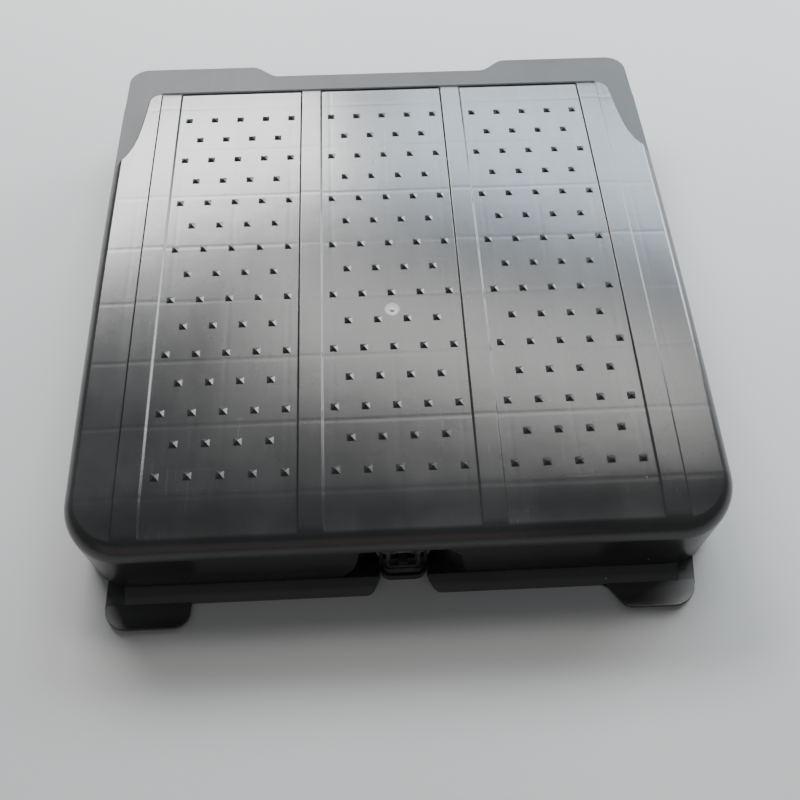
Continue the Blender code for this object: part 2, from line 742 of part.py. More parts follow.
hinge_axis = (0, PIN_Y, PIN_Z)
finish(tread_cover(), moulding)
finish(latch_housing(), moulding, (0, NICHE_BACK_Y, 0))
finish(latch_lever(), nylon, hinge_axis)
finish(latch_pin(), steel, hinge_axis)
for hand, side in (("left", -1), ("right", 1)):
    finish(push_nut(f"push_nut_{hand}", side), steel, hinge_axis)
    finish(torsion_spring(f"latch_spring_{hand}", side), steel, hinge_axis)
    x = side * SCREW_X
    finish(housing_screw(f"housing_screw_{hand}", x), steel, (x, NICHE_BACK_Y, SCREW_Z))
for end, y in (("front", -BUFFER_Y), ("rear", BUFFER_Y)):
    for side, x in (("left", -BUFFER_X), ("right", BUFFER_X)):
        finish(buffer(f"buffer_{end}_{side}", x, y), rubber, (x, y, BOSS_LOW_Z))
for side, x in (("left", -PAD_X), ("right", PAD_X)):
    finish(hold_down_pad(f"hold_down_pad_{side}", x), foam, (x, 0, RIB_LOW_Z))
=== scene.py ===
import json
import math

import bmesh
import bpy
from mathutils import Euler, Matrix, Vector


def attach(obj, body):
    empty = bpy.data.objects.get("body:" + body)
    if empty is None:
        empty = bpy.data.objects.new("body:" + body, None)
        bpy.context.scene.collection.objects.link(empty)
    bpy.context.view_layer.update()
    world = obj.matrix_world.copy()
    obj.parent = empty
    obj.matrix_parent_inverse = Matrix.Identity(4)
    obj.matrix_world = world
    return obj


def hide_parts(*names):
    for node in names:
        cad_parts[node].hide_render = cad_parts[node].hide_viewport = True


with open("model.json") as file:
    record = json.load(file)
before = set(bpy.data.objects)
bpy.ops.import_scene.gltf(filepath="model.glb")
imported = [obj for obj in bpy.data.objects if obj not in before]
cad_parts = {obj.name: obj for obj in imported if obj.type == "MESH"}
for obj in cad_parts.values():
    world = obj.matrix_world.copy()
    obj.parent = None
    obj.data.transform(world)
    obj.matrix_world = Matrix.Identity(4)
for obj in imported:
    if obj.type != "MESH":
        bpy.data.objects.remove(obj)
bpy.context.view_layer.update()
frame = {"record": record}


# mesh helpers
def makePiece(name, bm):
    mesh = bpy.data.meshes.new(name)
    bm.to_mesh(mesh)
    bm.free()
    piece = bpy.data.objects.new(name, mesh)
    bpy.context.scene.collection.objects.link(piece)
    return piece


def blockBetween(name, low, high):
    low, high = Vector(low), Vector(high)
    bm = bmesh.new()
    bmesh.ops.create_cube(bm, size=1)
    bmesh.ops.scale(bm, vec=high - low, verts=bm.verts)
    bmesh.ops.translate(bm, vec=(low + high) / 2, verts=bm.verts)
    return makePiece(name, bm)


def rodBetween(name, start, end, radius, sides=48, endRadius=None, roundEnd=0):
    start, end = Vector(start), Vector(end)
    along = end - start
    bm = bmesh.new()
    farRadius = radius if endRadius is None else endRadius
    bmesh.ops.create_cone(bm, cap_ends=True, segments=sides, radius1=radius, radius2=farRadius,
                          depth=along.length)
    if roundEnd:
        rim = [e for e in bm.edges if abs(e.verts[0].co.z - e.verts[1].co.z) < 1e-7]
        bmesh.ops.bevel(bm, geom=rim, offset=roundEnd, segments=3, profile=0.5,
                        affect="EDGES", material=-1)
    turn = Vector((0, 0, 1)).rotation_difference(along).to_matrix().to_4x4()
    bmesh.ops.transform(bm, matrix=Matrix.Translation((start + end) / 2) @ turn, verts=bm.verts)
    return makePiece(name, bm)


def plateFrom(name, outline, low, high, along="Z"):
    # an outline in X and Y pushed up, one in Y and Z pushed along X, or one in X and Z along Y
    bm = bmesh.new()
    face = bm.faces.new([bm.verts.new((x, y, low)) for x, y in outline])
    bmesh.ops.recalc_face_normals(bm, faces=[face])
    made = bmesh.ops.extrude_face_region(bm, geom=[face])
    grown = [g for g in made["geom"] if isinstance(g, bmesh.types.BMVert)]
    bmesh.ops.translate(bm, vec=(0, 0, high - low), verts=grown)
    turns = {"X": ((0, 0, 1, 0), (1, 0, 0, 0), (0, 1, 0, 0), (0, 0, 0, 1)),
             "Y": ((1, 0, 0, 0), (0, 0, 1, 0), (0, 1, 0, 0), (0, 0, 0, 1))}
    if along in turns:
        bmesh.ops.transform(bm, matrix=Matrix(turns[along]), verts=bm.verts)
    bmesh.ops.recalc_face_normals(bm, faces=bm.faces)
    return makePiece(name, bm)


def joinOrCut(piece, other, operation):
    change = piece.modifiers.new("change", "BOOLEAN")
    change.operation = operation
    change.solver = "EXACT"
    change.object = other
    bpy.context.view_layer.update()
    ready = piece.evaluated_get(bpy.context.evaluated_depsgraph_get())
    mesh = bpy.data.meshes.new_from_object(ready)
    piece.modifiers.clear()
    piece.data = mesh
    bpy.data.objects.remove(other)
    return piece


def arcPoints(x, y, radius, start, end, steps):
    angles = [math.radians(start + (end - start) * i / steps) for i in range(steps + 1)]
    return [(x + radius * math.cos(a), y + radius * math.sin(a)) for a in angles]


def softenEdges(piece, width, segments, sharperThan, keep, clamp=True):
    bm = bmesh.new()
    bm.from_mesh(piece.data)
    bmesh.ops.remove_doubles(bm, verts=bm.verts, dist=0.000002)
    bmesh.ops.dissolve_limit(bm, angle_limit=0.002, verts=bm.verts, edges=bm.edges)
    edges = [e for e in bm.edges if len(e.link_faces) == 2 and keep(e)
             and e.calc_face_angle(0) > math.radians(sharperThan)]
    bmesh.ops.bevel(bm, geom=edges, offset=width, segments=segments, profile=0.5,
                    affect="EDGES", material=-1, clamp_overlap=clamp)
    bm.to_mesh(piece.data)
    bm.free()
    return piece


def smoothPiece(piece, angle=28):
    piece.data.shade_smooth()
    piece.data.set_sharp_from_angle(angle=math.radians(angle))
    even = piece.modifiers.new("evenNormals", "WEIGHTED_NORMAL")
    even.keep_sharp = True
    even.weight = 80
    return piece


# the cover moulding: one shot of plastic, lip, flange, tabs and ribs included
cover = {
    "halfWidth": 0.333, "frontY": -0.325, "rearY": 0.318, "topZ": 0.113, "wall": 0.003,
    "frontCorner": 0.060, "rearCorner": 0.032, "roll": 0.024, "recess": 0.002,
    "crown": 0.0784, "fall": 0.003, "fallY": -0.262, "fallRun": 0.040,
    "crownStartZ": 0.060, "crownFullZ": 0.092, "crownCuts": 73, "crownPitch": 0.00963,
    "panelPitch": 0.178, "panelHalf": 0.0765, "panelBackY": 0.297, "stripOuterX": 0.280,
    "ledgeZ": 0.097, "treadBackY": 0.302, "treadBackHalf": 0.297, "treadBackCorner": 0.016,
    "ledgeStartY": 0.168, "shoulderSplay": 0.012, "shoulderKick": 0.025, "shoulderSteps": 44,
    "lipHalf": 0.331, "lipMiddleY": 0.349, "lipEndY": 0.369, "lipCorner": 0.025,
    "lobeInnerX": 0.135, "lobeRamp": 0.034,
    "flange": 0.003, "flangeEdgeY": -0.342, "tabBendY": -0.345, "tabKick": 10,
    "flareTopZ": 0.0105, "flareEnd": 0.286, "notchHalf": 0.026, "eyeFrontY": -0.326,
    "nicheFrontHalf": 0.064, "nicheBackHalf": 0.031, "nicheBackY": -0.298,
    "nicheFloorZ": 0.0108, "nicheTopZ": 0.0905, "nicheTaper": 0.32,
    "ribThick": 0.0025, "ribLowZ": 0.092, "ribPitchY": 0.077,
    "ribColumns": (-0.243, -0.178, -0.113, -0.065, 0, 0.065, 0.113, 0.178, 0.243),
    "bossRadius": 0.011, "bossLowZ": 0.078, "bossX": 0.243, "bossY": 0.1925, "bossHole": 0.0045,
    "stepRun": 0.0027, "shoulderRound": 0.0022, "plateRound": 0.0009,
}
floorZ = cover["topZ"] - cover["recess"]
ceilingZ = floorZ - cover["wall"]


def crownPiece(piece, cuts):
    # the top falls away to the front and the rear, in strips fine enough to look round
    bm = bmesh.new()
    bm.from_mesh(piece.data)
    for i in range(cuts):
        y = (i - (cuts - 1) / 2) * cover["crownPitch"]
        bmesh.ops.bisect_plane(bm, geom=bm.verts[:] + bm.edges[:] + bm.faces[:], dist=0.000001,
                               plane_co=(0, y, 0), plane_no=(0, 1, 0))
    span = cover["crownFullZ"] - cover["crownStartZ"]
    for v in bm.verts:
        share = min(max((v.co.z - cover["crownStartZ"]) / span, 0), 1)
        beyond = min(max((cover["fallY"] - v.co.y) / cover["fallRun"], 0), 1)
        v.co.z -= (cover["crown"] * v.co.y ** 2 + cover["fall"] * beyond ** 2) * share
    bm.to_mesh(piece.data)
    bm.free()
    return piece


def roundedTray(name, inset, low, top, segments=12):
    bm = bmesh.new()
    bmesh.ops.create_cube(bm, size=1)
    width = 2 * (cover["halfWidth"] - inset)
    depth = cover["rearY"] - cover["frontY"] - 2 * inset
    bmesh.ops.scale(bm, vec=(width, depth, top - low), verts=bm.verts)
    middle = (0, (cover["rearY"] + cover["frontY"]) / 2, (top + low) / 2)
    bmesh.ops.translate(bm, vec=middle, verts=bm.verts)
    for front in (True, False):
        upright = [e for e in bm.edges if abs(e.verts[0].co.z - e.verts[1].co.z) > 0.01
                   and (e.verts[0].co.y < 0) == front]
        radius = cover["frontCorner" if front else "rearCorner"] - inset
        bmesh.ops.bevel(bm, geom=upright, offset=radius, segments=2 * segments, profile=0.5,
                        affect="EDGES", material=-1)
    rim = [e for e in bm.edges if all(v.co.z > top - 1e-5 for v in e.verts)]
    bmesh.ops.bevel(bm, geom=rim, offset=cover["roll"] - inset, segments=segments, profile=0.5,
                    affect="EDGES", material=-1)
    return makePiece(name, bm)


def rearStep(name, inset, low):
    # the S-curved shoulder at each side and the straight back of the tread
    corner, start = cover["treadBackCorner"], cover["ledgeStartY"]
    side = []
    for i in range(cover["shoulderSteps"] + 1):
        s = 1 - i / cover["shoulderSteps"]
        reach = cover["treadBackHalf"]
        reach = reach + cover["shoulderSplay"] * s + cover["shoulderKick"] * s ** 5
        y = cover["treadBackY"] - corner - s * (cover["treadBackY"] - corner - start)
        side.append((reach - inset, y - inset * s))
    right = side + arcPoints(cover["treadBackHalf"] - inset - corner,
                             cover["treadBackY"] - inset - corner, corner, 0, 90, 10)[1:]
    left = [(-x, y) for x, y in reversed(right)]
    around = [(-0.7, right[0][1]), (-0.7, 0.7), (0.7, 0.7), (0.7, right[0][1])]
    return plateFrom(name, right + left + around, low, cover["topZ"] + 0.003)


def latchNiche(name, inset, low, high):
    # a pocket that narrows to its back and to its top
    run = cover["nicheFrontHalf"] - cover["nicheBackHalf"]
    run = run / (cover["nicheBackY"] - cover["frontY"])
    front, back = cover["frontY"] - 0.05, cover["nicheBackY"] + inset
    backHalf = cover["nicheBackHalf"] + inset * (math.sqrt(1 + run ** 2) - run)
    frontHalf = backHalf + run * (back - front)
    outline = [(-frontHalf, front), (frontHalf, front), (backHalf, back), (-backHalf, back)]
    piece = plateFrom(name, outline, low, high)
    height = cover["nicheTopZ"] - cover["nicheFloorZ"]
    for v in piece.data.vertices:
        v.co.x *= 1 - cover["nicheTaper"] * (v.co.z - cover["nicheFloorZ"]) / height
    return piece


def rearLip():
    # the flat lip behind the ledge, with a lobe at each end
    r, end, half = cover["lipCorner"], cover["lipEndY"], cover["lipHalf"]
    inner, ramp, middle = cover["lobeInnerX"], cover["lobeRamp"], cover["lipMiddleY"]
    startY = cover["rearY"] - cover["rearCorner"] - 0.010
    right = [(half, startY)] + arcPoints(half - r, end - r, r, 0, 90, 14)
    for i in range(13):
        s = i / 12
        ease = s * s * (3 - 2 * s)
        right.append((inner + ramp * (1 - s), end + (middle - end) * ease))
    left = [(-x, y) for x, y in reversed(right)]
    wallY = cover["rearY"] - cover["wall"]
    inside = [(-cover["treadBackHalf"], startY), (-cover["treadBackHalf"], wallY),
              (cover["treadBackHalf"], wallY), (cover["treadBackHalf"], startY)]
    low, high = cover["ledgeZ"] - cover["wall"], cover["ledgeZ"]
    return plateFrom("lip", right + left + inside, low, high)


def frontFlange():
    innerY, cornerX = cover["frontY"] + 0.0015, 0.307
    bend, edge = cover["tabBendY"], cover["flangeEdgeY"]
    outline = [(-cornerX, cover["frontY"] + 0.012), (-cornerX, bend), (-0.219, bend),
               (-0.219, edge), (0.206, edge), (0.211, bend), (cornerX - 0.004, bend),
               (cornerX, cover["frontY"] + 0.012), (cornerX - 0.025, innerY + 0.012),
               (cornerX - 0.040, innerY), (-cornerX + 0.040, innerY),
               (-cornerX + 0.025, innerY + 0.012)]
    return plateFrom("flange", outline, 0, cover["flange"])


def frontTab(name, outline):
    # a tab that hangs down a little from the bend at its root
    bend = cover["tabBendY"]
    piece = plateFrom(name, [(x, y - bend) for x, y in outline], 0, cover["flange"])
    place = Matrix.Translation((0, bend, 0.0008))
    piece.data.transform(place @ Matrix.Rotation(-math.radians(cover["tabKick"]), 4, "X"))
    return piece


def flangeNotch(name, grow):
    # the opening in the flange under the latch eye
    half, edge = cover["notchHalf"] + grow, cover["flangeEdgeY"]
    right = [(half, cover["eyeFrontY"] + 0.002), (half, cover["eyeFrontY"] - 0.0015),
             (half + 0.0055, edge + 0.0045), (half + 0.0085, edge + 0.0015),
             (half + 0.013, edge - 0.0005), (half + 0.013, edge - 0.009)]
    left = [(-x, y) for x, y in reversed(right)]
    return plateFrom(name, right + left, -0.003, cover["nicheFloorZ"] + 0.003)


def wallFlare(name, left, right):
    # the slope that leads the front wall into the flange
    frontY, edge, top = cover["frontY"], cover["flangeEdgeY"], cover["flareTopZ"]
    outline = [(frontY + 0.006, top), (frontY + 0.0005, top), (frontY - 0.0035, top - 0.0009),
               (edge + 0.0042, 0.0047), (edge + 0.0002, 0.0028), (edge + 0.0002, 0.0002),
               (edge + 0.004, 0.0002), (frontY, top - 0.0035), (frontY + 0.006, top - 0.0035)]
    return plateFrom(name, outline, left, right, "X")


def endWeb(name, left, right):
    # closes the space under the slope
    frontY, edge, top = cover["frontY"], cover["flangeEdgeY"], cover["flareTopZ"]
    outline = [(frontY + 0.006, 0.001), (frontY + 0.006, top - 0.0002), (frontY, top - 0.0004),
               (edge + 0.0005, 0.0026), (edge + 0.0005, 0.001)]
    return plateFrom(name, outline, left, right, "X")


def undersideRibs():
    high, t = ceilingZ + cover["wall"], cover["ribThick"]
    grid = None
    for i in range(8):
        y = (i - 3.5) * cover["ribPitchY"]
        bar = blockBetween("rib", (-cover["halfWidth"], y - t / 2, cover["ribLowZ"]),
                           (cover["halfWidth"], y + t / 2, high))
        grid = bar if grid is None else joinOrCut(grid, bar, "UNION")
    for x in cover["ribColumns"]:
        bar = blockBetween("rib", (x - t / 2, cover["frontY"] + 0.032, cover["ribLowZ"]),
                           (x + t / 2, cover["rearY"], high))
        grid = joinOrCut(grid, bar, "UNION")
    inside = roundedTray("inside", 0.0015, cover["crownStartZ"], ceilingZ + 0.0015, 5)
    inside = joinOrCut(inside, rearStep("step", 0.0015, cover["ledgeZ"] - 0.0015), "DIFFERENCE")
    return joinOrCut(grid, inside, "INTERSECT")


def easedRecess(name, left, right, back):
    # a shallow recess whose sides and back rise in an easy S
    run, rise = cover["stepRun"], cover["recess"]

    def climb(edge, side):
        points = []
        for i in range(9):
            s = i / 8
            points.append((edge + side * run * (s - 0.5), floorZ + rise * s * s * (3 - 2 * s)))
        points.append((edge + side * (run / 2 + 0.0004), cover["topZ"] + 0.00006))
        return points + [(edge + side * (run / 2 + 0.0004), cover["topZ"] + 0.006)]

    across = plateFrom(name, climb(right, 1) + climb(left, -1)[::-1], -0.7, 0.7, "Y")
    lengthways = plateFrom("length", climb(back, 1) + climb(-0.65, -1)[::-1], -0.8, 0.8, "X")
    return joinOrCut(across, lengthways, "INTERSECT")


def coverMoulding():
    body = roundedTray("coverMoulding", 0, 0, cover["topZ"], 14)
    body = joinOrCut(body, rearStep("step", 0, cover["ledgeZ"]), "DIFFERENCE")
    half, outer = cover["panelHalf"], cover["stripOuterX"]
    for centre in (-cover["panelPitch"], 0, cover["panelPitch"]):
        panel = easedRecess("panel", centre - half, centre + half, cover["panelBackY"])
        body = joinOrCut(body, panel, "DIFFERENCE")
    for low, high in ((-0.7, -outer), (outer, 0.7)):
        body = joinOrCut(body, easedRecess("border", low, high, 0.7), "DIFFERENCE")
    niche = latchNiche("niche", 0, cover["nicheFloorZ"], cover["nicheTopZ"])
    body = joinOrCut(body, niche, "DIFFERENCE")
    end, root = cover["lipEndY"], cover["tabBendY"] + 0.004
    leftTab = [(-0.2195, root), (-0.3065, root)]
    leftTab += arcPoints(-0.281, -end + 0.025, 0.0255, 180, 270, 14)
    leftTab += arcPoints(-0.236, -end + 0.016, 0.0165, 270, 360, 12)
    rightTab = [(0.303, root), (0.209, root), (0.2225, 0.0062 - end), (0.2258, 0.0022 - end),
                (0.231, -end)]
    rightTab += arcPoints(0.275, -end + 0.027, 0.0275, 270, 360, 14)
    plates = [rearLip(), frontFlange(), frontTab("tab", leftTab), frontTab("tab", rightTab)]
    plates.append(wallFlare("flare", -cover["flareEnd"], cover["flareEnd"]))
    for x in (-cover["flareEnd"], cover["flareEnd"]):
        plates.append(endWeb("web", x - 0.0012, x + 0.0012))
    middleWeb = endWeb("web", -2 * cover["notchHalf"], 2 * cover["notchHalf"])
    plates.append(joinOrCut(middleWeb, flangeNotch("grown", 0.002), "INTERSECT"))
    for plate in plates:
        body = joinOrCut(body, plate, "UNION")
    body = joinOrCut(body, flangeNotch("notch", 0), "DIFFERENCE")
    hollow = roundedTray("hollow", cover["wall"], -0.005, ceilingZ, 8)
    hollow = joinOrCut(hollow, rearStep("step", cover["wall"], cover["ledgeZ"] - cover["wall"]),
                       "DIFFERENCE")
    niche = latchNiche("niche", cover["wall"], cover["nicheFloorZ"] - cover["wall"],
                       cover["nicheTopZ"] + cover["wall"])
    hollow = joinOrCut(hollow, niche, "DIFFERENCE")
    body = joinOrCut(body, hollow, "DIFFERENCE")
    body = joinOrCut(body, undersideRibs(), "UNION")
    for x in (-cover["bossX"], cover["bossX"]):
        for y in (-cover["bossY"], cover["bossY"]):
            boss = rodBetween("boss", (x, y, cover["bossLowZ"]), (x, y, ceilingZ + 0.0015),
                              cover["bossRadius"], 40)
            body = joinOrCut(body, boss, "UNION")
            hole = rodBetween("hole", (x, y, 0.075), (x, y, cover["bossLowZ"] + 0.014),
                              cover["bossHole"], 24)
            body = joinOrCut(body, hole, "DIFFERENCE")
    return body


def shoulderEdge(e):
    # the top of the wall that stands round the rear ledge
    middle = (e.verts[0].co + e.verts[1].co) / 2
    upright = any(abs(f.normal.z) < 0.02 for f in e.link_faces)
    upward = any(f.normal.z > 0.3 for f in e.link_faces)
    return (e.is_convex and upright and upward and e.calc_length() > 0.0012
            and middle.z > cover["ledgeZ"] + 0.004 and middle.y > cover["ledgeStartY"] - 0.01)


def plateEdge(e):
    # the outline of the lip, the flange and the tabs
    middle = (e.verts[0].co + e.verts[1].co) / 2
    low, high = cover["ledgeZ"] - cover["wall"], cover["ledgeZ"]
    onLip = middle.y > 0.29 and min(abs(middle.z - low), abs(middle.z - high)) < 0.0001
    onFlange = middle.z < 0.012 and middle.y < cover["flangeEdgeY"] + 0.003
    flat = abs(e.verts[0].co.z - e.verts[1].co.z) < 0.3 * e.calc_length()
    return e.is_convex and flat and (onLip or onFlange) and e.calc_length() > 0.0012


gate = {"y": -0.058, "dish": 0.0068, "depth": 0.0009, "stub": 0.0026, "stubHigh": 0.0006}


def gateMark(body):
    # a shallow round dish with the cut-off stub of the moulding gate in it
    dish = rodBetween("dish", (0, gate["y"], floorZ - gate["depth"]),
                      (0, gate["y"], floorZ + 0.002), gate["dish"] * 0.55, 48, gate["dish"] * 2.4)
    body = joinOrCut(body, dish, "DIFFERENCE")
    stub = rodBetween("stub", (0, gate["y"], floorZ - 0.002),
                      (0, gate["y"], floorZ + gate["stubHigh"]), gate["stub"], 32,
                      gate["stub"] * 0.8, 0.0003)
    return joinOrCut(body, stub, "UNION")


latchCut = {"half": 0.0248, "slotHalf": 0.008, "slotLow": 0.0035, "slotHigh": 0.021,
            "screwX": 0.015, "screwZ": 0.048, "screwHole": 0.0023}


def latchOpenings(body):
    # the seat of the latch housing, the slot of the catch and the screw holes
    back, front = cover["nicheBackY"], cover["eyeFrontY"]
    seat = blockBetween("seat", (-latchCut["half"], front - 0.003, -0.003),
                        (latchCut["half"], back - 0.00005, cover["nicheFloorZ"] + 0.003))
    body = joinOrCut(body, seat, "DIFFERENCE")
    slot = blockBetween("slot", (-latchCut["slotHalf"], back - 0.003, latchCut["slotLow"]),
                        (latchCut["slotHalf"], back + 0.006, latchCut["slotHigh"]))
    body = joinOrCut(body, slot, "DIFFERENCE")
    for x in (-latchCut["screwX"], latchCut["screwX"]):
        hole = rodBetween("hole", (x, back - 0.003, latchCut["screwZ"]),
                          (x, back + 0.006, latchCut["screwZ"]), latchCut["screwHole"], 24)
        body = joinOrCut(body, hole, "DIFFERENCE")
    return body


stud = {"pitchX": 0.032, "pitchY": 0.03536, "rows": 15, "base": 0.0097, "tip": 0.0006,
        "high": 0.0030, "sink": 0.0005, "round": 0.00016}


def treadStuds():
    # small pyramids in rows of five and four on each panel
    bm = bmesh.new()
    for panel in (-1, 0, 1):
        for row in range(stud["rows"]):
            count = 5 if row % 2 == 0 else 4
            for column in range(count):
                x = panel * cover["panelPitch"] + (column - (count - 1) / 2) * stud["pitchX"]
                y = ((stud["rows"] - 1) / 2 - row) * stud["pitchY"]
                made = bmesh.ops.create_cone(
                    bm, cap_ends=True, segments=4, radius1=stud["base"] / math.sqrt(2),
                    radius2=stud["tip"] / math.sqrt(2), depth=stud["high"] + stud["sink"])
                lift = floorZ + (stud["high"] - stud["sink"]) / 2
                place = Matrix.Translation((x, y, lift)) @ Matrix.Rotation(math.pi / 4, 4, "Z")
                bmesh.ops.transform(bm, matrix=place, verts=made["verts"])
    upper = [e for e in bm.edges if max(v.co.z for v in e.verts) > floorZ]
    bmesh.ops.bevel(bm, geom=upper, offset=stud["round"], segments=2, profile=0.5,
                    affect="EDGES", material=-1)
    return makePiece("treadStuds", bm)


print("building the cover moulding")
coverPiece = latchOpenings(gateMark(coverMoulding()))
softenEdges(coverPiece, cover["shoulderRound"], 4, 25, shoulderEdge, False)
softenEdges(coverPiece, cover["plateRound"], 3, 60, plateEdge, False)
coverPiece = crownPiece(coverPiece, cover["crownCuts"])
smoothPiece(coverPiece)
studPiece = smoothPiece(crownPiece(treadStuds(), 0), 50)
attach(coverPiece, "cover")
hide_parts("tread_cover")
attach(studPiece, "cover")
print("cover moulding", len(coverPiece.data.polygons), "faces, studs",
      len(studPiece.data.polygons))


# the latch and the small parts are the CAD solids with their edges rounded
def refined(name, node, width, segments=2, sharperThan=34, angle=32):
    piece = bpy.data.objects.new(name, bpy.data.objects[node].data.copy())
    bpy.context.scene.collection.objects.link(piece)
    softenEdges(piece, width, segments, sharperThan, lambda e: True)
    smoothPiece(piece, angle)
    bodies = frame["record"]["behaviour"]["bodies"]
    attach(piece, next(body for body, nodes in bodies.items() if node in nodes))
    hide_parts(node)
    return piece


# name here: CAD node, width and segments of its edges, angles for the edges and the shading
latch = {
    "eyeHousing": ("latch_housing", 0.0006, 3),
    "pullLever": ("latch_lever", 0.0004, 2),
    "hingePin": ("latch_pin", 0.0001, 1),
    "springLeft": ("latch_spring_left", 0.00005, 1, 60, 80),
    "springRight": ("latch_spring_right", 0.00005, 1, 60, 80),
    "pushNutLeft": ("push_nut_left", 0.0002),
    "pushNutRight": ("push_nut_right", 0.0002),
    "screwLeft": ("housing_screw_left", 0.0002),
    "screwRight": ("housing_screw_right", 0.0002),
}
buffers = {
    "bufferFrontLeft": ("buffer_front_left", 0.0008, 3),
    "bufferFrontRight": ("buffer_front_right", 0.0008, 3),
    "bufferRearLeft": ("buffer_rear_left", 0.0008, 3),
    "bufferRearRight": ("buffer_rear_right", 0.0008, 3),
}

print("rounding the latch and the small parts")
latchPieces = {name: refined(name, *edges) for name, edges in latch.items()}
bufferPieces = [refined(name, *edges) for name, edges in buffers.items()]


pad = {"x": 0.146, "size": (0.1496, 0.0696, 0.0118), "top": 0.0917, "corner": 0.007,
       "round": 0.0034, "crown": 0.0026, "waist": 0.0014, "cuts": 9, "fill": 0.9}


def spongePad(name, centre):
    # glued flat to the ribs, its free face crowned and its sides drawn in between the corners
    length, depth, height = pad["size"]
    bm = bmesh.new()
    bmesh.ops.create_cube(bm, size=1)
    bmesh.ops.scale(bm, vec=(length, depth, height), verts=bm.verts)
    upright = [e for e in bm.edges if abs(e.verts[0].co.z - e.verts[1].co.z) > height / 2]
    bmesh.ops.bevel(bm, geom=upright, offset=pad["corner"], segments=8, profile=0.5,
                    affect="EDGES", material=-1)
    lower = [e for e in bm.edges if all(v.co.z < 0.0001 - height / 2 for v in e.verts)]
    bmesh.ops.bevel(bm, geom=lower, offset=pad["round"], segments=5, profile=0.5,
                    affect="EDGES", material=-1)
    for across, span in (((1, 0, 0), length), ((0, 1, 0), depth)):
        for i in range(pad["cuts"]):
            share = ((i + 1) / (pad["cuts"] + 1) - 0.5) * span
            bmesh.ops.bisect_plane(bm, geom=bm.verts[:] + bm.edges[:] + bm.faces[:],
                                   dist=0.000001, plane_co=Vector(across) * share,
                                   plane_no=across)
    for v in bm.verts:
        u, w = 2 * v.co.x / length, 2 * v.co.y / depth
        free = 0.5 - v.co.z / height
        v.co.z += pad["crown"] * free * (1 - (1 - u ** 2) * (1 - w ** 2))
        v.co.x -= pad["waist"] * u ** 3 * (1 - w ** 2)
        v.co.y -= pad["waist"] * w ** 3 * (1 - u ** 2)
    bmesh.ops.translate(bm, vec=(centre, 0, pad["top"] - height / 2), verts=bm.verts)
    return smoothPiece(crownPiece(makePiece(name, bm), 0), 40)


padPieces = [spongePad("holdDownPadLeft", -pad["x"]), spongePad("holdDownPadRight", pad["x"])]
for piece, node in zip(padPieces, ("hold_down_pad_left", "hold_down_pad_right")):
    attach(piece, "cover")
    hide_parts(node)


class Field:
    # a shader socket that can be used in sums
    def __init__(self, tree, socket=None):
        self.tree, self.socket = tree, socket

    def node(self, kind, settings=None, sockets=None, output=0):
        made = self.tree.nodes.new("ShaderNode" + kind)
        for key, value in (settings or {}).items():
            if key == "stops":
                ramp = made.color_ramp.elements
                while len(ramp) < len(value):
                    ramp.new(0.5)
                for element, (place, grey) in zip(ramp, value):
                    element.position, element.color = place, (grey, grey, grey, 1)
            else:
                setattr(made, key, value)
        for key, value in (sockets or {}).items():
            if isinstance(value, Field):
                self.tree.links.new(value.socket, made.inputs[key])
            else:
                made.inputs[key].default_value = value
        return Field(self.tree, made.outputs[output])

    def math(self, operation, first, second=0.0):
        return self.node("Math", {"operation": operation}, {0: first, 1: second})

    def __add__(self, other):
        return self.math("ADD", self, other)

    def __radd__(self, other):
        return self.math("ADD", other, self)

    def __sub__(self, other):
        return self.math("SUBTRACT", self, other)

    def __rsub__(self, other):
        return self.math("SUBTRACT", other, self)

    def __mul__(self, other):
        return self.math("MULTIPLY", self, other)

    def __rmul__(self, other):
        return self.math("MULTIPLY", other, self)

    def __abs__(self):
        return self.math("ABSOLUTE", self)

    def __mod__(self, other):
        return self.math("FLOORED_MODULO", self, other)

    def between(self, low, high, start=0.0, end=1.0):
        # eased from start to end as the value goes from low to high
        return self.node("MapRange", {"interpolation_type": "SMOOTHSTEP"},
                         {"Value": self, "From Min": low, "From Max": high,
                          "To Min": start, "To Max": end})

    def noise(self, vector, scale, detail=3.0, rough=0.5, stretch=(1, 1, 1)):
        turned = self.node("Mapping", {}, {"Vector": vector, "Scale": stretch})
        return self.node("TexNoise", {}, {"Vector": turned, "Scale": scale, "Detail": detail,
                                          "Roughness": rough})

    def mixColour(self, share, first, second):
        return self.node("Mix", {"data_type": "RGBA"}, {0: share, 6: first, 7: second}, 2)


def newMaterial(name, roughness, metallic=0.0):
    made = bpy.data.materials.new(name)
    made.use_nodes = True
    shader = made.node_tree.nodes["Principled BSDF"]
    shader.inputs["Roughness"].default_value = roughness
    shader.inputs["Metallic"].default_value = metallic
    field = Field(made.node_tree)
    place = field.node("TexCoord", output="Object")
    return made, shader, field, place


def connect(shader, name, value):
    value.tree.links.new(value.socket, shader.inputs[name])


def dress(pieces, made):
    for piece in pieces:
        piece.data.materials.clear()
        piece.data.materials.append(made)


moulding = {
    "dark": (0.010, 0.0100, 0.0101, 1), "light": (0.018, 0.0179, 0.0178, 1),
    # the flange and tab colour is painted light: lighter than the moulding, standing in for light
    # in the cover's shade
    "scuff": (0.05, 0.05, 0.05, 1), "foot": (0.045, 0.045, 0.044, 1),
    "gate": (0.34, 0.34, 0.34, 1), "dust": (0.55, 0.54, 0.52, 1), "dustScale": 95.0,
    "smooth": 0.20, "dull": 0.27, "lipDull": 0.34, "footDull": 0.26,
    "sinkDepth": 0.00006, "sinkWidth": 0.0042, "ribBeside": 0.065,
    "fineHeight": 0.000007, "cloudHeight": 0.0004, "streakHeight": 0.00006,
    "scratchHeight": 0.000002,
}


